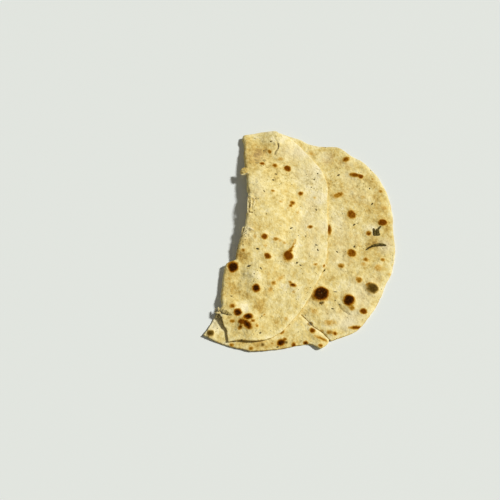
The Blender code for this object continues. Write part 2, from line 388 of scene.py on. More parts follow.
BASE_SPOTS = {
    "charred": [
        (12.6, -49.8, 11.0, 10.1, 40), (31.1, -54.9, 8.4, 7.3, 85), (-16.2, -85.9, 5.6, 4.4, 20),
        (0.2, -86, 3.0, 2.4, 0),
    ],
    "dark": [
        (5.1, -77.3, 4.2, 4.0, 0), (20, -79.4, 2.9, 2.5, 0), (40.4, -63.3, 4.8, 4.2, 0),
        (34.3, -75.1, 8.2, 2.3, 4), (47.4, 49.7, 4.5, 3.9, 0), (-13.6, -83.5, 2.5, 1.9, 0),
        (24, -83.2, 3.6, 2.6, 20), (60.4, 8.3, 6.9, 6.0, 0), (-7.8, -87.5, 3.9, 2.8, 90),
        (9.9, -88.4, 2.7, 2.2, 0),
    ],
    "smoky": [
        (48.5, -45.7, 7.0, 7.0, 90), (-63.5, -79.4, 4.8, 4.3, 0), (3.8, -72.3, 3.2, 2.7, 0),
        (-12.8, -85.8, 1.8, 1.6, 0), (-28.6, -87.6, 2.6, 2.2, 0), (12.4, -56.9, 3.0, 2.0, 20),
    ],
    "brown": [
        (38.1, 15.5, 7.6, 6.4, 95), (37.5, 66.2, 6.0, 4.2, 35), (42.9, 51.3, 7.8, 4.2, -8),
        (35.9, -17.4, 6.6, 6.3, 0), (49.4, -0.9, 4.0, 3.8, 0), (20.8, 2.1, 8.4, 3.4, 90),
        (46.1, -42.9, 4.6, 3.2, 10), (-36.2, -90.2, 3.0, 2.2, 0), (-49, -87.5, 3.0, 2.2, 0),
    ],
    "toasted": [
        (29.3, 32.7, 8.6, 4.4, 30), (45.6, -22.5, 3.9, 3.6, 0), (57.4, -22.7, 3.3, 3.0, 0),
        (27.5, -27.7, 4.4, 4.0, 0), (39.3, -38.9, 4.8, 4.4, 0), (61.7, 36.3, 3.2, 2.8, 0),
        (56.4, 47.4, 1.9, 1.7, 0), (16.4, -78.4, 3.6, 3.0, 0), (10.7, -83.2, 8.6, 2.3, -27),
        (40.5, -73.9, 2.4, 1.8, 30), (7.9, -52.3, 6.0, 4.4, 70), (32.8, -60.7, 3.8, 3.6, 0),
        (-22.3, -86.6, 1.9, 1.7, 0),
    ],
    "faint": [
        (53.6, -29.5, 6.6, 6.0, 0), (6.8, -63.2, 5.0, 4.6, 0), (17.3, -71.5, 8.6, 4.8, 0),
        (11.4, -76.9, 3.4, 2.2, -30), (62.4, 21.3, 5.2, 4.4, 0), (47.4, 30.7, 3.8, 3.2, 0),
        (43.4, -26.6, 4.2, 3.4, 0), (-29.7, -85.4, 5.0, 2.0, 0), (11.2, 72.1, 6.2, 3.6, -40),
        (31.1, -54.9, 10.8, 9.8, 85), (12.2, -50.3, 14.4, 13.4, 40), (48.2, -45.4, 9.2, 9.0, 0),
        (61, -34.5, 2.4, 2.0, 0),
    ],
}
BAKED = {
    "charred": 1.0, "dark": 0.78, "smoky": 0.9, "brown": 0.68, "toasted": 0.56, "faint": 0.32,
}
SPOT_FADE = {
    "charred": 1.2, "dark": 1.0, "smoky": 1.2, "brown": 1.0, "toasted": 1.1, "faint": 1.9,
}
BLISTER_SKIRT = 2.8
BLISTER_RISE = 0.26
BLISTER_BAKE_RISE = 0.34

# Broader differences in the dough: x, y, radius across, radius along and strength. Golden
# parts are above nought and floury pale parts below.
# Painted shade: the tan patches at the flap's top left and down the fold's side, where the skin turns from the light.
# Painted light: the pale patch at x -41, y -61, over the shade by the torn flap edge.
FLAP_WARMTH_AND_SHADE = [
    (-31, 70, 16, 15, 0.8), (-36, 57, 12, 14, 0.55), (-41, 70, 8, 12, 0.35), (-42, 30, 9, 22, 0.2),
    (-24, 86, 18, 8, -0.35), (8, 38, 16, 26, -0.35), (-3, 78, 12, 14, -0.4), (5, 64, 12, 14, -0.3),
    (-49, -38, 12, 26, 0.4), (-44, -8, 8, 16, 0.5), (-49, -74, 7, 12, 0.3), (-42, -52, 12, 12, 0.2),
    (-22, -62, 16, 16, 0.05), (16, 20, 8, 60, -0.35), (-30, 41, 14, 16, -0.2),
    (-34, -55, 12, 14, 0.4), (-22, -37, 10, 10, 0.4), (-24, 2, 12, 10, 0.35),
    (-26, -72, 12, 8, 0.2), (0, -16, 14, 22, -0.5), (-6, -44, 13, 16, -0.5), (3, 12, 12, 16, -0.4),
    (-46, -22, 7, 10, 0.3), (-34, 14, 8, 10, 0.15), (-18, -56, 8, 10, -0.2), (-41, -38, 8, 9, -0.1),
    (-18, -22, 8, 9, -0.4), (-26, 83, 9, 11, 0.5), (-12, 85, 9, 9, -0.6), (-30, 68, 8, 12, 0.3), (-30, 16, 9, 9, -0.4),
    (5, 16, 9, 9, -0.25), (-6, -10, 9, 9, -0.3), (14, -12, 10, 10, -0.5), (-8, -23, 8, 7, -0.3), (-41, -23, 8, 8, 0.7),
    (-32, -37, 9, 8, -0.7), (-6, -36, 8, 8, 0.3), (6, -36, 7, 8, -0.7), (-30, -49, 8, 8, 0.3),
    (3, -49, 6, 7, 0.5), (-42, -49, 7, 7, -0.3),
    (-41, -61, 8, 7, -1.4), (-30, -61, 8, 8, 0.6), (-18, -73, 9, 7, 0.5), (-18, 57, 8, 8, 0.15),
    (13, 71, 12, 8, -0.45), (17, 57, 7, 8, -0.25), (17, 29, 7, 9, -0.3), (-41, -4, 7, 14, -0.45),
]
BASE_WARMTH_AND_SHADE = [
    (46, 4, 50, 110, 0.2), (60, 22, 10, 26, 0.35), (27, 67, 9, 10, 0.2), (40, 53, 13, 9, -0.35),
    (40, -66, 14, 8, -0.2), (24, 40, 6, 14, 0.4), (44, 34, 12, 10, 0.2), (38, 60, 10, 8, 0.3),
    # The golden strip at x -24, y -88 is painted shadow of the flap's lower rim on the base's lobe.
    (-24, -88, 32, 8, 0.65), (-60, -74, 12, 12, -0.5), (-60, -86, 12, 4, 0.3),
    (27, 8, 11, 26, -0.35), (26, -24, 10, 18, -0.3), (16, -73, 9, 8, -0.5),
    (40, -44, 18, 12, -0.35), (26, -46, 10, 12, -0.4), (55, -6, 12, 12, 0.1),
    (52, -26, 9, 9, -0.3), (52, 44, 9, 10, 0.3), (27, 71, 8, 7, 0.4), (52, 3, 8, 8, -0.8),
    (63, 3, 5, 9, 0.8), (52, -11, 8, 7, 0.55), (51, -50, 8, 8, -0.25), (28, 71, 6, 7, 0.2),
]
# Flour lies on the skin as a pale film, and ground herb and soot as fine grey dust. Some grey on the flap is painted
# shade.
FLAP_FLOUR = [
    (-4, 72, 18, 16, 0.8), (6, 50, 16, 18, 0.7), (9, 26, 12, 20, 0.7), (5, 6, 12, 14, 0.6),
    (10, -14, 10, 18, 0.6), (-30, 42, 10, 12, 0.3), (-40, -2, 8, 12, 0.5), (-30, 66, 12, 14, 0.3),
    (8, 72, 16, 10, 1.1), (15, 57, 10, 12, 1.0), (16, 43, 8, 10, 0.5), (-30, 30, 9, 9, 0.6),
    (16, 29, 8, 10, 0.6), (17, 3, 7, 9, 1.0), (-5, -73, 8, 7, 0.7),
]
BASE_FLOUR = [
    (22, 68, 9, 10, 0.7), (40, 50, 14, 9, 0.5), (28, 6, 10, 22, 0.6), (28, -20, 12, 18, 0.5),
    (38, -50, 18, 18, 0.8), (30, -72, 14, 9, 0.6), (60, -12, 8, 9, 0.9), (-62, -74, 10, 10, 0.8),
    (38, 62, 12, 8, 0.3), (50, 30, 10, 10, 0.3), (18, -66, 12, 12, 0.4),
    (52, 3, 8, 8, 0.8), (40, 36, 12, 14, 0.35), (40, -4, 10, 12, 0.3), (63, -10, 6, 9, 0.4),
    (51, -42, 9, 14, 0.4), (33, -66, 14, 9, 0.8), (28, -73, 10, 7, 0.8),
]
# The patches near x -29, y 60 and beside the fold near x -41 are painted shade, where the skin turns from the light.
FLAP_DUST_AND_SHADE = [
    (8, 48, 15, 18, 0.6), (14, 24, 9, 14, 0.55), (-24, 42, 14, 14, 0.3), (15, -6, 6, 12, 0.3),
    (-41, -2, 7, 10, 0.8), (-29, 60, 12, 13, 1.4), (7, -32, 4, 3.4, 0.9), (-30, -61, 6, 3, 0.7),
    (-27, 30, 3, 2.4, 0.9), (-4, -48, 4, 4, 0.4), (-14, 48, 16, 13, 0.9), (16, 57, 8, 8, 0.4),
    (-18, 30, 8, 8, 0.3), (-41, -10, 8, 8, 0.5),
]
BASE_DUST = [
    (26, 45, 6, 11, 0.9), (29, 58, 8, 5, 0.8), (48, 42, 9, 9, 0.6), (24, 38, 3, 4, 1.0),
    (29, -20, 4, 4, 0.8), (38, -11, 3, 2.6, 0.9), (28, 16, 9, 12, 0.4), (46, -52, 9, 8, 0.45),
    (12.4, -57.6, 3.4, 2.2, 1.0), (36, -34, 16, 9, 0.35), (40, 8, 4, 3, 0.6),
    (20, -66, 14, 9, 0.3), (55, -14, 9, 4, 0.6), (-62, -72, 8, 6, 0.3), (52, 42, 8, 8, 0.5), (52, -10, 8, 8, 0.5), (63, -23, 6, 8, 0.4),
]
PATCHES = {
    True: {"warmth_and_shade": FLAP_WARMTH_AND_SHADE, "flour": FLAP_FLOUR, "dust_and_shade": FLAP_DUST_AND_SHADE},
    False: {"warmth_and_shade": BASE_WARMTH_AND_SHADE, "flour": BASE_FLOUR, "dust_and_shade": BASE_DUST},
}

# Creases and splits in the baked skin, as runs of x and y, then width and depth. A run whose
# depth is below nought is a lip of torn skin that stands up beside a split.
# A groove deeper than SHALLOW_CREASE is painted dark as shade, and such a lip is painted pale as a highlight.
FLAP_CREASES = [
    ([(-19.6, 89), (-18.9, 87.0), (-17.5, 85.6), (-17.3, 83.6)], 0.9, 0.28),
    ([(-16.9, 82.6), (-15.9, 80.6), (-16.0, 79.2)], 0.8, 0.26),
    ([(-15.3, 78.2), (-14.9, 76.6), (-15.4, 74.4)], 0.9, 0.6),
    ([(-16.0, 73.4), (-17.2, 71.8), (-17.9, 69.0)], 0.9, 0.5),
    ([(-14.2, 83.6), (-13.4, 79.6), (-13.8, 75.4), (-15.6, 71.4)], 1.6, -0.2),
    ([(-37.3, 23.6), (-37.4, 20.4), (-37.5, 17.2)], 0.6, 0.9),
    ([(-37.6, 16.6), (-37.8, 14.2), (-37.4, 12.4), (-35.2, 12.4)], 0.6, 0.7),
    ([(-36.0, 25.2), (-34.4, 25.0), (-33.3, 23.3), (-33.5, 20.4), (-35.0, 17.0)], 0.8, -0.27),
    ([(-36.0, 22.6), (-35.9, 19.4), (-36.3, 16.4)], 0.7, -0.24),
    ([(-35.3, 24.0), (-34.7, 21.8), (-35.3, 19.2)], 0.7, 0.3),
    ([(-34.3, 27.4), (-32.7, 26.0), (-32.5, 23.4)], 0.7, 0.4),
    ([(-42.0, -0.6), (-41.9, -4.6)], 0.8, 1.1),
    ([(-42.7, 0.2), (-42.6, -3.6)], 0.8, -0.4),
    ([(-41.6, 0.6), (-38.3, -0.3), (-34.6, -1.8)], 1.2, -0.45),
    ([(-33.5, -3.3), (-33.3, -5.8), (-32.6, -8.0)], 1.0, 0.35),
    ([(-39.5, -12), (-37.5, -9), (-38.5, -6)], 1.6, 0.12),
    ([(-32.8, 42.8), (-32.6, 38.8)], 0.9, 0.3),
    ([(-50, -34.2), (-44, -38.2), (-36, -39.2), (-28, -37.2)], 2.6, 0.14),
    ([(-47, -63), (-38, -61.5), (-30, -61), (-22, -62)], 2.6, 0.14),
    ([(-38, 38.8), (-30, 32.8), (-24, 29.8)], 2.4, 0.14),
    ([(-12, -48.2), (-6, -51.2), (-1, -47.2)], 2.6, 0.14),
    ([(-20, -27), (-14, -30), (-8, -29)], 2.8, 0.12), ([(-30, 6), (-22, 9), (-16, 6)], 3.0, 0.12),
    ([(-6, -58), (-12, -62), (-20, -66)], 3.0, 0.14), ([(-40, -84), (-30, -80)], 2.8, 0.12),
]
BASE_CREASES = [
    ([(24, -57.5), (25.2, -60.4), (27.4, -62.6), (30.8, -65)], 1.3, 0.45),
    ([(26, -24), (29, -20), (29.5, -15)], 1.8, 0.16),
    ([(47, -43), (43.4, -47), (45, -51.5)], 2.0, 0.2),
    ([(40, 60), (38, 64), (36, 70)], 2.2, 0.16),
    ([(1.4, -69), (5.4, -74.3), (11, -79.6), (14.6, -83)], 1.6, -0.3),
    ([(43, -35), (40.5, -42), (43, -47)], 2.4, 0.16),
]

PILLOWS = [(17.0, 0.3), (7.5, 0.4), (3.6, 0.27)]  # size and height of the sheet's unevenness
BLISTER_COUNTS = {"inner": 760, "outer": 480}
HIDDEN_SPOT_COUNT = 85
HIDDEN_RELIEF = 0.3
SKIN_OVERLAP = 5.0
SHALLOW_CREASE = 0.2  # a crease no deeper than this shows by its shade alone


def apply_spots(tree, fields, spots):
    """Bakes each spot into the scorch field and raises the blister under it."""
    for bake, places in spots.items():
        for place, length, width, turn in places:
            fade = min(SPOT_FADE[bake], 0.42 * width)
            rise = (BLISTER_RISE + BLISTER_BAKE_RISE * BAKED[bake]) * min(1.0, width / 3.2)
            crown = 0.2 * width
            for co, index, _ in tree.find_range(place, length / 2 + BLISTER_SKIRT + 0.8):
                gap = gap_to_spot(co, place, length, width, turn)
                scorch = BAKED[bake] * ease((fade - gap) / (2 * fade))
                fields["scorch"][index] = max(fields["scorch"][index], scorch)
                if bake == "smoky":
                    fields["smoke"][index] = max(fields["smoke"][index], ease(1 - gap / 0.6))
                fields["relief"][index] += rise * ease((BLISTER_SKIRT - gap) / (BLISTER_SKIRT + crown))


def gap_to_spot(co, place, length, width, turn):
    """How far a place is outside the uneven edge of an oval spot. Inside, it is below nought."""
    away = co - place
    away += 0.09 * width * noise.noise_vector(co / (0.5 * width))
    away.x = math.copysign(math.hypot(away.x, away.z), away.x)
    turned = math.radians(turn)
    along = away.x * math.cos(turned) + away.y * math.sin(turned)
    across = away.y * math.cos(turned) - away.x * math.sin(turned)
    return (math.hypot(along / (length / 2), across / (width / 2)) - 1) * width / 2


def sheet_place(x, y, flap):
    """The sheet's middle above or below x, y, on the flap or on the base."""
    reach, y, _ = flat_place(x, y, flap)
    return middle_at(reach, y, flap)


def placed_spots(spots, flap):
    """The same spots with their places on the folded sheet."""
    return {
        bake: [(sheet_place(x, y, flap), *oval) for x, y, *oval in places]
        for bake, places in spots.items()
    }


def press_crease(tree, fields, run, width, depth):
    """Presses a groove into the skin along a run of places, or raises a lip of it."""
    deepest = {}
    for start, end in zip(run, run[1:]):
        steps = max(1, round((end - start).length / (0.3 * width)))
        for step in range(steps + 1):
            place = start.lerp(end, step / steps)
            for co, index, away in tree.find_range(place, width / 2 + 0.3):
                near = ease(1.3 * (1 - away / (width / 2 + 0.3)))
                deepest[index] = max(deepest.get(index, 0.0), near)
    for index, near in deepest.items():
        fields["relief"][index] -= depth * near
        # deep grooves are marked for painted shade and high lips for a painted highlight
        if abs(depth) > SHALLOW_CREASE:
            fields["crease"][index] += near * max(-1.0, min(1.0, depth / 0.5))


def raise_blister(tree, fields, place, draws):
    """A small bubble under the skin, of a randomly drawn size."""
    radius = draws.uniform(1.2, 3.3)
    height = draws.uniform(0.08, 0.3)
    for co, index, away in tree.find_range(place, radius):
        fields["relief"][index] += height * ease(1.2 * (1 - away / radius))


def patch_at(place, patches):
    """The sum of the broad patches at a folded place."""
    return sum(
        strength * ease(1 - math.hypot((place.x - x) / across, (place.y - y) / along))
        for x, y, across, along, strength in patches
    )


def random_spots(places, draws):
    """Spots like those that show, for the faces that the fold and the ground hide."""
    spots = {bake: [] for bake in BAKED}
    for place in places:
        bake = draws.choices(list(BAKED), weights=[1, 3, 1, 5, 8, 8])[0]
        size = draws.uniform(2.0, 6.5 if bake == "charred" else 4.5)
        spots[bake].append((place, size, size * draws.uniform(0.6, 1.0), draws.uniform(0, 180)))
    return spots


outline = sheet_outline()
fine_patches = [(*flat_place(x, y, True)[:2], *radii) for x, y, *radii in SPLIT_PLACES]
bm = flat_slab(outline)
bm.verts.index_update()
flat = [vert.co.copy() for vert in bm.verts]
faces = {"inner": [], "outer": []}
for index, (reach, y, side) in enumerate(flat):
    faces["inner" if side > 0 else "outer"].append(index)

rim_places = []
for start, end in zip(outline, outline[1:] + outline[:1]):
    steps = math.ceil((end - start).length / 0.15)
    rim_places += [start.lerp(end, step / steps) for step in range(steps)]
rim = KDTree(len(rim_places))
for index, place in enumerate(rim_places):
    rim.insert(place, index)
rim.balance()

shapes = {}
shape_of = []
for reach, y, side in flat:
    key = (round(reach, 4), round(y, 4))
    if key not in shapes:
        gap = rim.find((reach, y, 0))[2]
        shapes[key] = (*folded(reach, y, gap), gap)
    shape_of.append(shapes[key])

# Each skin is one face of the flap or of the base, with a little of the bend's other half.
skins = {}
for face, flap in (("inner", False), ("inner", True), ("outer", False), ("outer", True)):
    side = -1 if flap else 1
    near = [index for index in faces[face] if side * flat[index].x > -SKIN_OVERLAP]
    skins[face, flap] = KDTree(len(near))
    for index in near:
        skins[face, flap].insert(shape_of[index][0], index)
    skins[face, flap].balance()

fields = {
    name: [0.0] * len(flat)
    for name in ("relief", "scorch", "smoke", "warmth_and_shade", "flour", "dust_and_shade", "crease", "rim")
}
shown_sides = (
    ("outer", True, FLAP_SPOTS, FLAP_CREASES),
    ("inner", False, BASE_SPOTS, BASE_CREASES),
)
for face, flap, spots, creases in shown_sides:
    apply_spots(skins[face, flap], fields, placed_spots(spots, flap))
    for run, width, depth in creases:
        run = [sheet_place(x, y, flap) for x, y in run]
        press_crease(skins[face, flap], fields, run, width, depth)

draws = random.Random(11)
for face, count in BLISTER_COUNTS.items():
    for index in draws.choices(faces[face], k=count):
        on_flap_side = flat[index].x < 0
        raise_blister(skins[face, on_flap_side], fields, shape_of[index][0], draws)
covered = flat_place(18, 0, False).x
hidden = [
    (face, index)
    for face in faces
    for index in faces[face]
    if (flat[index].x > 12 and (face == "outer" or flat[index].x < covered - 9))
    or (face == "inner" and flat[index].x < -12)
]
for face, index in draws.sample(hidden, HIDDEN_SPOT_COUNT):
    on_flap_side = flat[index].x < 0
    apply_spots(skins[face, on_flap_side], fields, random_spots([shape_of[index][0]], draws))

for vert in bm.verts:
    reach, y, side = flat[vert.index]
    middle, inwards, thickness, gap = shape_of[vert.index]
    facing = math.copysign(1, side)
    grain = Vector((reach, y, 60 * facing))
    relief = sum(height * noise.noise(grain / size) for size, height in PILLOWS)
    relief += fields["relief"][vert.index]
    if inwards.z * facing < 0 or (reach > 0 and side > 0 and reach < covered - 8):
        relief *= HIDDEN_RELIEF
    relief *= ease(0.25 + gap / 2.5)
    vert.co = middle + inwards * facing * (thickness / 2 + relief)
    vert.co.z = max(vert.co.z, 0.0)
    for name, patches in PATCHES[is_flap(reach, y)].items():
        fields[name][vert.index] = patch_at(middle, patches)
    fields["rim"][vert.index] = min(gap, RIM_TAPER)
skin_above = BVHTree.FromBMesh(bm)
skin_points = [vert.co.copy() for vert in bm.verts]


def linear(colour):
    """A colour such as #EBDA92 as the linear numbers that a shader takes."""
    channels = [int(colour[i : i + 2], 16) / 255 for i in (1, 3, 5)]
    return [c / 12.92 if c <= 0.04045 else ((c + 0.055) / 1.055) ** 2.4 for c in channels] + [1.0]


def add(tree, kind, inputs, **settings):
    """Adds a shader node. Inputs give each socket a value or another node's output."""
    made = tree.nodes.new("ShaderNode" + kind)
    for setting, value in settings.items():
        setattr(made, setting, value)
    for socket, value in inputs.items():
        if isinstance(value, bpy.types.NodeSocket):
            tree.links.new(value, made.inputs[socket])
        else:
            made.inputs[socket].default_value = value
    return made


def colour_stops(ramp, stops):
    """Fills a colour ramp from pairs of position and colour."""
    elements = ramp.color_ramp.elements
    while len(elements) < len(stops):
        elements.new(0.5)
    for element, (position, colour) in zip(elements, stops):
        element.position = position
        element.color = linear(colour)


DOUGH_TONES = [
    (0.0, "#F3E8BE"), (0.25, "#EDDEA2"), (0.5, "#DFCA84"), (0.75, "#C9AA5C"), (1.0, "#A07C38"),
]
SCORCH_TONES = [
    (0.0, "#E6CE8C"), (0.18, "#DCBE70"), (0.32, "#CCA452"), (0.44, "#B48632"),
    (0.54, "#A07012"), (0.68, "#7A4202"), (0.8, "#703A00"), (0.9, "#502800"), (1.0, "#2E1400"),
]
SMOKE_TONES = [(0.0, "#DCCB90"), (0.35, "#B09A5E"), (0.65, "#765C20"), (1.0, "#3E2A06")]


def baked_dough():
    """Whole-wheat dough baked dry: matt straw yellow, floury and flecked with bran, with
    golden blisters and burnt spots where it touched the iron."""
    material = bpy.data.materials.new("whole_wheat_dough_baked_on_iron")
    material.use_nodes = True
    tree = material.node_tree
    shader = tree.nodes["Principled BSDF"]
    place = add(tree, "TexCoord", {}).outputs["Object"]
    mm = add(tree, "VectorMath", {0: place, "Scale": 1 / MM}, operation="SCALE").outputs[0]
    field = {
        name: add(tree, "Attribute", {}, attribute_name=name).outputs["Fac"]
        for name in ("scorch", "smoke", "warmth_and_shade", "flour", "dust_and_shade", "crease", "rim")
    }
    broad = add(tree, "TexNoise", {"Vector": mm, "Scale": 1 / 19, "Detail": 2}).outputs[0]
    patch = add(tree, "TexNoise", {"Vector": mm, "Scale": 1 / 6, "Detail": 3}).outputs[0]
    mottle = add(tree, "TexNoise", {"Vector": mm, "Scale": 1 / 2.4, "Detail": 3}).outputs[0]
    grain = add(tree, "TexNoise", {"Vector": mm, "Scale": 1 / 0.9, "Detail": 2}).outputs[0]

    # How golden the dough is: its patches, some of them painted shade and one painted light, and unevenness at four
    # sizes.
    tone_and_shade = add(
        tree, "Math", {0: field["warmth_and_shade"], 1: 0.42, 2: 0.42}, operation="MULTIPLY_ADD"
    ).outputs[0]
    for unevenness, strength in ((broad, 0.45), (patch, 0.85), (mottle, 0.85), (grain, 0.4)):
        centred = add(tree, "Math", {0: unevenness, 1: 0.5}, operation="SUBTRACT").outputs[0]
        tone_and_shade = add(
            tree, "Math", {0: centred, 1: strength, 2: tone_and_shade}, operation="MULTIPLY_ADD"
        ).outputs[0]
    # Paler dough within a few millimetres of the rim. At the very edge a darker line: partly drier, toasted dough,
    # partly painted shade that damps the bright lit edge.
    pale_rim = add(
        tree, "MapRange", {"Value": field["rim"], "From Min": 0.5, "From Max": 3.4,
                           "To Min": -0.17, "To Max": 0.0}
    ).outputs[0]
    darkened_edge = add(
        tree, "MapRange", {"Value": field["rim"], "From Max": 0.6, "To Min": 0.36, "To Max": 0.0}
    ).outputs[0]
    for change in (pale_rim, darkened_edge):
        tone_and_shade = add(tree, "Math", {0: tone_and_shade, 1: change}, operation="ADD").outputs[0]
    dough = add(tree, "ValToRGB", {0: tone_and_shade})
    colour_stops(dough, DOUGH_TONES)
    colour = dough.outputs[0]

    # Flour pales the skin, and dust and painted shade grey it in fine blotches.
    film = add(
        tree, "Math", {0: field["flour"], 1: 0.5}, operation="MULTIPLY", use_clamp=True
    ).outputs[0]
    colour = add(
        tree, "Mix", {0: film, 6: colour, 7: linear("#EEE4C2")}, data_type="RGBA"
    ).outputs[2]
    blotch = add(
        tree, "MapRange", {"Value": mottle, "From Min": 0.52, "From Max": 0.68},
        interpolation_type="SMOOTHSTEP",
    ).outputs[0]
    dust_and_shade_share = add(
        tree, "Math", {0: field["dust_and_shade"], 1: blotch}, operation="MULTIPLY", use_clamp=True
    ).outputs[0]
    colour = add(
        tree, "Mix", {0: dust_and_shade_share, 6: colour, 7: linear("#A4935F")}, data_type="RGBA"
    ).outputs[2]

    # Bran: flecks about half a millimetre long.
    bran = add(
        tree, "TexNoise", {"Vector": mm, "Scale": 1 / 0.8, "Detail": 1, "Distortion": 0.6}
    ).outputs[0]
    fleck = add(
        tree, "MapRange", {"Value": bran, "From Min": 0.66, "From Max": 0.76, "To Max": 0.55},
        interpolation_type="SMOOTHSTEP",
    ).outputs[0]
    colour = add(
        tree, "Mix", {0: fleck, 6: colour, 7: linear("#A88C50")}, data_type="RGBA"
    ).outputs[2]

    # Burnt spots, with edges that are uneven at about a millimetre.
    ragged = add(tree, "TexNoise", {"Vector": mm, "Scale": 1 / 1.3, "Detail": 3}).outputs[0]
    swing = add(tree, "Math", {0: ragged, 1: 0.5}, operation="SUBTRACT").outputs[0]
    reach = add(
        tree, "MapRange", {"Value": field["scorch"], "From Min": 0.02, "From Max": 0.3,
                           "To Max": 0.55},
    ).outputs[0]
    scorch = add(
        tree, "Math", {0: swing, 1: reach, 2: field["scorch"]}, operation="MULTIPLY_ADD"
    ).outputs[0]
    burnt = add(tree, "ValToRGB", {0: scorch})
    colour_stops(burnt, SCORCH_TONES)
    cover = add(
        tree, "MapRange", {"Value": scorch, "From Min": 0.03, "From Max": 0.3},
        interpolation_type="SMOOTHSTEP",
    ).outputs[0]
    smoky = add(tree, "ValToRGB", {0: scorch})
    colour_stops(smoky, SMOKE_TONES)
    burnt = add(
        tree, "Mix", {0: field["smoke"], 6: burnt.outputs[0], 7: smoky.outputs[0]},
        data_type="RGBA",
    ).outputs[2]
    colour = add(tree, "Mix", {0: cover, 6: colour, 7: burnt}, data_type="RGBA").outputs[2]
    # Painted shade darkens the deep grooves, and a painted highlight pales the raised lips of torn skin.
    groove = add(
        tree, "MapRange", {"Value": field["crease"], "From Min": 0.1, "From Max": 1.4, "To Max": 0.9}
    ).outputs[0]
    colour = add(
        tree, "Mix", {0: groove, 6: colour, 7: linear("#5A4416")}, data_type="RGBA"
    ).outputs[2]
    lip = add(
        tree, "MapRange", {"Value": field["crease"], "From Min": -0.1, "From Max": -0.9,
                           "To Max": 0.75},
    ).outputs[0]
    colour = add(
        tree, "Mix", {0: lip, 6: colour, 7: linear("#F0E6BE")}, data_type="RGBA"
    ).outputs[2]
    tree.links.new(colour, shader.inputs["Base Color"])

    rough = add(
        tree, "MapRange", {"Value": scorch, "To Min": 0.86, "To Max": 0.62}
    ).outputs[0]
    tree.links.new(rough, shader.inputs["Roughness"])
    shader.inputs["Specular IOR Level"].default_value = 0.02

    # The skin is grainy: pimples two millimetres apart, and a finer tooth on them.
    tooth = add(tree, "TexNoise", {"Vector": mm, "Scale": 1 / 1.2, "Detail": 4}).outputs[0]
    pimples = add(
        tree, "TexVoronoi", {"Vector": mm, "Scale": 1 / 2.1, "Smoothness": 0.6},
        feature="SMOOTH_F1",
    ).outputs["Distance"]
    grainy = add(
        tree, "Math", {0: pimples, 1: -0.55, 2: tooth}, operation="MULTIPLY_ADD"
    ).outputs[0]
    bump = add(
        tree, "Bump", {"Height": grainy, "Distance": 0.42 * MM, "Strength": 1.0}
    ).outputs[0]
    tree.links.new(bump, shader.inputs["Normal"])
    return material


def finish_piece(bm, name, material, fields=None):
    """Turns a bmesh in millimetres into a smooth-shaded piece in metres that rides the part."""
    bmesh.ops.scale(bm, verts=bm.verts[:], vec=(MM, MM, MM))
    mesh = bpy.data.meshes.new(name)
    bm.to_mesh(mesh)
    bm.free()
    for field, values in (fields or {}).items():
        mesh.attributes.new(field, "FLOAT", "POINT").data.foreach_set("value", values)
    mesh.shade_smooth()
    mesh.materials.append(material)
    piece = bpy.data.objects.new(name, mesh)
    bpy.context.scene.collection.objects.link(piece)
    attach(piece, "root")
    return piece


shown = {name: values for name, values in fields.items() if name != "relief"}
dough_material = baked_dough()
bread = finish_piece(bm, "bread", dough_material, shown)
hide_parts("chapati")

# ---------------------------------------------------------------------------------------------
# Torn skin: strands that still cross the tear through the fold and hang in the split higher
# up, and a tab of skin that broke out of the fold. They are thin shreds of the bread itself,
# left by tearing: pale where the crumb is bare, and tan where they keep the baked skin.
# ---------------------------------------------------------------------------------------------

# Each strand: its run as x, y and z, its widths along it, its thickness, and how baked it is.
FREE_STRANDS = [
    ([(-58.6, -61.6, 5.2), (-57.8, -63.8, 5.5), (-56.8, -66.2, 5.3), (-55.6, -68.4, 4.8)],
     [1.0, 1.5, 1.7, 1.2], 0.6, 0.0),
    ([(-60.9, -64.3, 2.8), (-59.6, -65.4, 4.4), (-57.8, -65.7, 5.4), (-55.8, -65.4, 5.8)],
     [0.7, 1.1, 1.4, 1.2], 0.55, 0.05),
    ([(-60.2, -68.2, 1.4), (-59.3, -66.6, 3.4), (-58.4, -64.6, 4.9), (-57.2, -62.6, 5.7)],
     [1.2, 1.0, 0.9, 1.2], 0.5, 0.0),
    ([(-61.0, -66.9, 1.6), (-59.4, -66.4, 3.4), (-57.2, -64.6, 5.4)], [0.5, 0.45, 0.5], 0.35, 0.3),
    ([(-59.2, -69.2, 1.4), (-57.4, -68.0, 4.2), (-55.2, -67.0, 5.6)], [0.6, 0.5, 0.6], 0.35, 0.3),
    ([(-60.4, -61.6, 3.0), (-60.0, -63.6, 3.6), (-59.9, -65.8, 3.0), (-60.6, -68.0, 1.4)],
     [0.7, 0.7, 0.8, 0.9], 0.4, 0.4),
    ([(-58.6, -62.4, 4.6), (-56.8, -63.9, 5.9), (-55.2, -64.9, 6.3), (-53.6, -65.6, 6.2)],
     [1.2, 2.0, 2.6, 2.4], 0.5, 0.75),
    ([(-37.6, 29.4, 9.0), (-38.2, 24.0, 9.5), (-38.5, 18.0, 9.6), (-38.5, 12.0, 9.2),
      (-38.8, 8.4, 8.6)], [0.6, 1.1, 1.2, 1.0, 0.4], 0.5, 0.0),
    ([(-41.7, 1.4, 7.3), (-42.4, -1.4, 7.5), (-42.9, -4.8, 7.0)], [0.5, 1.0, 0.5], 0.4, 0.0),
]
# The strand that lies back on the flap, with its heights above the skin. It is drawn dark olive.
LAID_STRAND = (
    [(-54.2, -65.2, 0.35), (-52.6, -65.9, 0.3), (-50.8, -66.6, 0.2), (-48.6, -67.4, 0.05)],
    [3.2, 2.8, 1.7, 0.5], 0.5, 0.9,
)
STRAND_STEP = 0.25
STRAND_SIDES = 10
STRAND_ROUGHNESS = 0.2


def on_skin(x, y):
    """The topmost point of the bread at x and y, and the way its skin looks there."""
    place, facing, _, _ = skin_above.ray_cast(Vector((x, y, 40)), Vector((0, 0, -1)))
    return place, facing


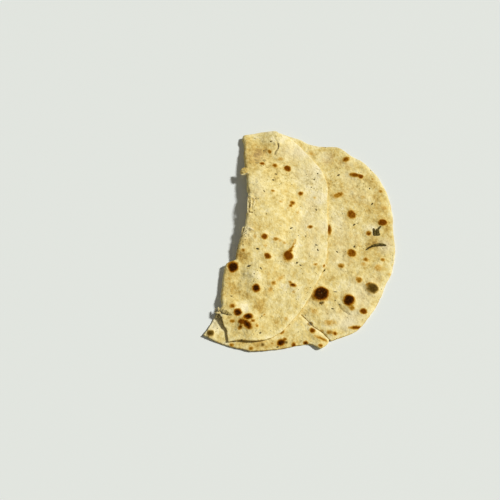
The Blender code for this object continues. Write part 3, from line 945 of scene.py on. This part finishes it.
def over_skin(stops):
    """Stops of x, y and height above the bread as stops of x, y and z."""
    return [(x, y, on_skin(x, y)[0].z + above) for x, y, above in stops]


def placed_ring(centre, run, width, thickness):
    """The transform that lays a unit circle across a run, flattened to a width and thickness."""
    side = run.cross(Vector((0, 0, 1))).normalized()
    up = side.cross(run).normalized()
    columns = (side * width / 2, up * thickness / 2, run.normalized(), centre)
    ring = Matrix([[column[row] for column in columns] for row in range(3)] + [[0, 0, 0, 1]])
    return ring


def smooth_path(stops):
    """Places along a smooth run through the stops, each with its share of the run in stops."""
    through = [Vector(stop) for stop in stops]
    axes = [curve_through([(i, co[axis]) for i, co in enumerate(through)]) for axis in range(3)]
    length = sum((b - a).length for a, b in zip(through, through[1:]))
    steps = max(4, round(length / STRAND_STEP))
    last = len(stops) - 1
    return [
        (last * step / steps, Vector([axis(last * step / steps) for axis in axes]))
        for step in range(steps + 1)
    ]


def grow_strand(bm, stops, widths, thickness):
    """Grows a flat strand ring by ring along its run, with a rough skin and shut ends."""
    path = smooth_path(stops)
    width_at = curve_through(list(enumerate(widths)))
    cap = bmesh.ops.create_circle(bm, cap_ends=True, segments=STRAND_SIDES, radius=1.0)
    ring = cap["verts"]
    grown = list(ring)
    placed = Matrix()
    for i, (share, centre) in enumerate(path):
        run = path[min(i + 1, len(path) - 1)][1] - path[max(i - 1, 0)][1]
        end = 0.45 if i in (0, len(path) - 1) else 1.0
        target = placed_ring(centre, run, width_at(share) * end, thickness * end)
        if i:
            face = next(f for f in ring[0].link_faces if all(v in ring for v in f.verts))
            made = bmesh.ops.extrude_face_region(bm, geom=[face])["geom"]
            ring = [item for item in made if isinstance(item, bmesh.types.BMVert)]
            grown += ring
        bmesh.ops.transform(bm, matrix=target @ placed.inverted(), verts=ring)
        placed = target
    for vert in grown:
        vert.co += STRAND_ROUGHNESS * noise.noise_vector(vert.co / 1.6)
        vert.co += 0.5 * STRAND_ROUGHNESS * noise.noise_vector(vert.co / 0.5)
    return grown


def torn_crumb():
    """The inside of the bread, bared by tearing: paler and rougher than the baked skin."""
    material = bpy.data.materials.new("torn_wheat_crumb")
    material.use_nodes = True
    tree = material.node_tree
    shader = tree.nodes["Principled BSDF"]
    place = add(tree, "TexCoord", {}).outputs["Object"]
    mm = add(tree, "VectorMath", {0: place, "Scale": 1 / MM}, operation="SCALE").outputs[0]
    mottle = add(tree, "TexNoise", {"Vector": mm, "Scale": 1 / 1.6, "Detail": 3}).outputs[0]
    crumb = add(tree, "ValToRGB", {0: mottle})
    colour_stops(crumb, [(0.28, "#C4AE74"), (0.45, "#DDCB90"), (0.62, "#EEE3B4")])
    baked = add(tree, "Attribute", {}, attribute_name="baked").outputs["Fac"]
    colour = add(
        tree, "Mix", {0: baked, 6: crumb.outputs[0], 7: linear("#8A7840")}, data_type="RGBA"
    ).outputs[2]
    tree.links.new(colour, shader.inputs["Base Color"])
    shader.inputs["Roughness"].default_value = 0.9
    shader.inputs["Specular IOR Level"].default_value = 0.04
    tooth = add(tree, "TexNoise", {"Vector": mm, "Scale": 1 / 0.6, "Detail": 3}).outputs[0]
    bump = add(tree, "Bump", {"Height": tooth, "Distance": 0.2 * MM, "Strength": 1.0})
    tree.links.new(bump.outputs[0], shader.inputs["Normal"])
    return material


bm = bmesh.new()
baked = bm.verts.layers.float.new("baked")
laid_run, *laid_look = LAID_STRAND
for stops, widths, thickness, how_baked in FREE_STRANDS + [(over_skin(laid_run), *laid_look)]:
    for vert in grow_strand(bm, stops, widths, thickness):
        vert[baked] = how_baked
bmesh.ops.recalc_face_normals(bm, faces=bm.faces[:])
torn_strands = finish_piece(bm, "torn_strands", torn_crumb())

# The tab is a thin tongue, hinged at the fold and sagging outwards, with a pale lower lip.
TAB_PLACE = Vector((-41.0, 50.2, 8.2))
TAB_SIZE = (6.8, 6.8, 0.9)
TAB_SAG = 0.05
TAB_TURN = math.radians(12)
TAB_LIP = [(-37.8, 48.6, 8.9), (-39.8, 47.4, 8.6), (-42.0, 47.3, 7.8), (-43.8, 48.8, 6.8)]


def skin_tongue():
    """A flattened ball bent into a sagging tongue, its outline and faces uneven."""
    bm = bmesh.new()
    bmesh.ops.create_uvsphere(bm, u_segments=36, v_segments=24, radius=0.5)
    bmesh.ops.scale(bm, verts=bm.verts[:], vec=TAB_SIZE)
    for vert in bm.verts:
        vert.co += 0.55 * noise.noise_vector(vert.co / 2.6 + Vector((7, 3, 1)))
        vert.co.z += 0.3 * noise.noise(vert.co / 1.2)
        vert.co.z -= TAB_SAG * (2.4 - vert.co.x) ** 2 - 0.25
    bmesh.ops.rotate(bm, verts=bm.verts[:], matrix=Matrix.Rotation(TAB_TURN, 3, "Z"))
    bmesh.ops.translate(bm, verts=bm.verts[:], vec=TAB_PLACE)
    return bm


bm = skin_tongue()
grow_strand(bm, TAB_LIP, [0.8, 1.3, 1.3, 0.9], 0.9)
bmesh.ops.recalc_face_normals(bm, faces=bm.faces[:])
lip_at = TAB_LIP[1][1] + 0.9
tab_fields = {
    "warmth_and_shade": [-0.6 if vert.co.y < lip_at else 0.6 for vert in bm.verts],
    "rim": [RIM_TAPER] * len(bm.verts),
}
skin_tab = finish_piece(bm, "skin_tab", dough_material, tab_fields)

# ---------------------------------------------------------------------------------------------
# Herbs: a stem, a leaf and many flecks of dried green herb. They were kneaded into the dough
# or fell on it while it baked, and went dark olive and brittle.
# ---------------------------------------------------------------------------------------------

HERB_STEM = (
    [(46.4, -14.6, 0.15), (49.8, -12.5, 0.9), (54, -11.0, 1.3), (58, -10.6, 1.0), (61.2, -11.0, 0.2)],
    [0.6, 1.2, 1.5, 1.6, 1.2], 0.9,
)
HERB_LEAF = [
    ([(53.9, -2.9, 0.2), (53.7, 0.4, 0.45), (53.4, 3.6, 0.25)], [2.6, 2.2, 0.8], 0.35),
    ([(56.3, -2.9, 0.2), (55.9, 0.2, 0.5), (57.0, 3.0, 0.6), (59.0, 5.2, 0.3)],
     [2.9, 2.6, 1.5, 0.8], 0.35),
]
# Flecks that lie on the flap or the base: x, y, length, width and turn.
HERB_FLECKS = [
    (-20.3, 80.8, 1.9, 1.4, 50), (-26, 72.8, 1.5, 1.2, 0), (-17.3, 48.8, 2.2, 1.4, -40),
    (-19.9, 42.8, 3, 1.4, -75), (-26.5, 31.2, 2.8, 1.2, -45), (11.8, 45.8, 2, 1.4, 60),
    (9.3, 38.8, 1.9, 1.2, 80), (14.7, 51.3, 1.9, 1.2, 30), (-38.7, 50.8, 2.2, 1.4, 70),
    (12, 18.3, 2.5, 1.2, -20), (-25, 11.3, 1.2, 0.9, 0), (-7.4, 1.6, 3.6, 1.6, 65),
    (-31.3, -16.4, 3, 1.6, -65), (10.6, -12, 2.4, 1.2, -70), (11.4, -16, 2.6, 1.2, -25),
    (-3.8, -26.4, 2.6, 1.5, -35), (-1.4, -28.6, 3, 1.1, -55), (-37, -29.9, 3.2, 1.8, 80),
    (-29.4, -32.2, 2.4, 1.2, -40), (-49.6, -53.2, 2, 1.2, -45), (-29, -68, 1.2, 0.9, 0),
    (-30, -79.8, 2.4, 1.6, 60), (-33, -78.8, 1.1, 0.8, 0), (-42.5, -84.8, 2.9, 1.2, 70),
    (3.2, -4.8, 1.9, 0.9, 10), (15.7, -31.2, 2.5, 1.2, 60), (-34, -36.7, 1.2, 0.9, 0),
    (30.8, 51.4, 3.1, 1.5, 35), (39.5, 6.6, 2.8, 1.5, 40), (38.2, -11.8, 2.5, 1.2, 60),
    (20, -61.2, 3, 1.1, -10), (22, -48.2, 3, 0.8, -5), (34.7, -78.6, 2.2, 1.2, 35),
    (54.2, 25, 2.9, 1.4, 55), (53.5, 39, 2, 1.2, 80), (25.5, -16.4, 1.8, 1.2, -40),
    (11.4, -57, 2.5, 1.4, 10), (4.2, -72.7, 2.5, 1.6, -35), (-18.5, -88.9, 2, 1.1, 10),
]
DUST_COUNT = 420
BARE_SHARE = 0.22  # how often a place with no dust on it still gets a fleck


def lay_fleck(bm, x, y, length, width, turn):
    """Presses one angular fleck half its thickness into the skin."""
    place, facing = on_skin(x, y)
    if place is None:
        return
    verts = bmesh.ops.create_icosphere(bm, subdivisions=1, radius=0.5)["verts"]
    cut = Vector((x, y, turn))
    for vert in verts:
        vert.co *= 1 + 0.5 * noise.noise(3 * vert.co + cut)
    size = Matrix.Diagonal((length, width, 0.24 * width, 1.0))
    turned = Matrix.Rotation(math.radians(turn), 4, "Z")
    tilted = Vector((0, 0, 1)).rotation_difference(facing).to_matrix().to_4x4()
    lying = Matrix.Translation(place + 0.02 * facing) @ tilted @ turned @ size
    bmesh.ops.transform(bm, matrix=lying, verts=verts)
    for vert in verts:
        vert.co.z = max(vert.co.z, 0.0)


def dried_herb(name, dark, light):
    """Dried herb: dull olive, darker in its folds."""
    material = bpy.data.materials.new(name)
    material.use_nodes = True
    tree = material.node_tree
    shader = tree.nodes["Principled BSDF"]
    place = add(tree, "TexCoord", {}).outputs["Object"]
    mm = add(tree, "VectorMath", {0: place, "Scale": 1 / MM}, operation="SCALE").outputs[0]
    mottle = add(tree, "TexNoise", {"Vector": mm, "Scale": 1 / 0.9, "Detail": 2}).outputs[0]
    green = add(tree, "ValToRGB", {0: mottle})
    colour_stops(green, [(0.35, dark), (0.65, light)])
    tree.links.new(green.outputs[0], shader.inputs["Base Color"])
    shader.inputs["Roughness"].default_value = 0.75
    shader.inputs["Specular IOR Level"].default_value = 0.12
    bump = add(tree, "Bump", {"Height": mottle, "Distance": 0.2 * MM, "Strength": 0.8})
    tree.links.new(bump.outputs[0], shader.inputs["Normal"])
    return material


herb = dried_herb("dried_herb", "#42360C", "#70622E")
for name, strands in (("herb_stem", [HERB_STEM]), ("herb_leaf", HERB_LEAF)):
    bm = bmesh.new()
    for stops, widths, thickness in strands:
        grow_strand(bm, over_skin(stops), widths, thickness)
    bmesh.ops.recalc_face_normals(bm, faces=bm.faces[:])
    finish_piece(bm, name, herb)

bm = bmesh.new()
for fleck in HERB_FLECKS:
    lay_fleck(bm, *fleck)
# a speck lies within a face of the skin, not on its corner, where its tilt would be undecided
OFF_CORNER = (0.11, 0.06)
dust_places = [
    index
    for index in draws.sample(range(len(flat)), 4 * DUST_COUNT)
    if draws.random() < BARE_SHARE + fields["dust_and_shade"][index]
]
for index in dust_places[:DUST_COUNT]:
    x, y = skin_points[index][0] + OFF_CORNER[0], skin_points[index][1] + OFF_CORNER[1]
    length = draws.uniform(0.4, 1.0)
    lay_fleck(bm, x, y, length, length * draws.uniform(0.5, 0.9), draws.uniform(0, 180))
finish_piece(bm, "herb_flecks", dried_herb("ground_dried_herb", "#463A16", "#766638"))

# ---------------------------------------------------------------------------------------------
# The floor: a plain pale table top that the bread lies on. It is not part of the object.
# ---------------------------------------------------------------------------------------------

FLOOR_SIDE = 4.0
FLOOR_DROP = 0.05


def painted_board():
    """Matt painted board: pale and even, with a slight tooth."""
    material = bpy.data.materials.new("matt_painted_board")
    material.use_nodes = True
    tree = material.node_tree
    shader = tree.nodes["Principled BSDF"]
    shader.inputs["Base Color"].default_value = linear("#E4EAEC")
    shader.inputs["Roughness"].default_value = 0.8
    shader.inputs["Specular IOR Level"].default_value = 0.2
    return material


bm = bmesh.new()
bmesh.ops.create_grid(bm, x_segments=1, y_segments=1, size=FLOOR_SIDE / 2)
bmesh.ops.translate(bm, verts=bm.verts[:], vec=(0, 0, -FLOOR_DROP * MM))
mesh = bpy.data.meshes.new("floor")
bm.to_mesh(mesh)
bm.free()
mesh.materials.append(painted_board())
floor = bpy.data.objects.new("floor", mesh)
bpy.context.scene.collection.objects.link(floor)

# ---------------------------------------------------------------------------------------------
# The studio: one soft key from the right, the room's even fill, and the camera, which looks
# down on the bread at sixty degrees.
# ---------------------------------------------------------------------------------------------

KEY_ELEVATION = math.radians(42)
KEY_AZIMUTH = math.radians(14)
KEY_SPREAD = math.radians(8)
KEY_STRENGTH = 3.75
FILL_STRENGTH = 0.18
CAMERA_ELEVATION = math.radians(60)
CAMERA_DISTANCE = 500.0
CAMERA_TARGET = Vector((-36.9, -13.7, 0))

key = bpy.data.lights.new("key", "SUN")
key.energy = KEY_STRENGTH
key.angle = KEY_SPREAD
key.color = linear("#FFFDF6")[:3]
key_object = bpy.data.objects.new("key", key)
key_object.rotation_euler = (0, math.pi / 2 - KEY_ELEVATION, KEY_AZIMUTH)
bpy.context.scene.collection.objects.link(key_object)

world = bpy.data.worlds.new("fill")
world.use_nodes = True
world.node_tree.nodes["Background"].inputs["Color"].default_value = linear("#FFF8E8")
world.node_tree.nodes["Background"].inputs["Strength"].default_value = FILL_STRENGTH
bpy.context.scene.world = world
bpy.context.scene.view_settings.view_transform = "Standard"

lens = bpy.data.cameras.new("camera")
lens.lens = 50
lens.sensor_width = 36
camera = bpy.data.objects.new("camera", lens)
back = Vector((0, -math.cos(CAMERA_ELEVATION), math.sin(CAMERA_ELEVATION))) * CAMERA_DISTANCE
camera.location = (CAMERA_TARGET + back) * MM
camera.rotation_euler = (math.pi / 2 - CAMERA_ELEVATION, 0, 0)
bpy.context.scene.collection.objects.link(camera)
bpy.context.scene.camera = camera
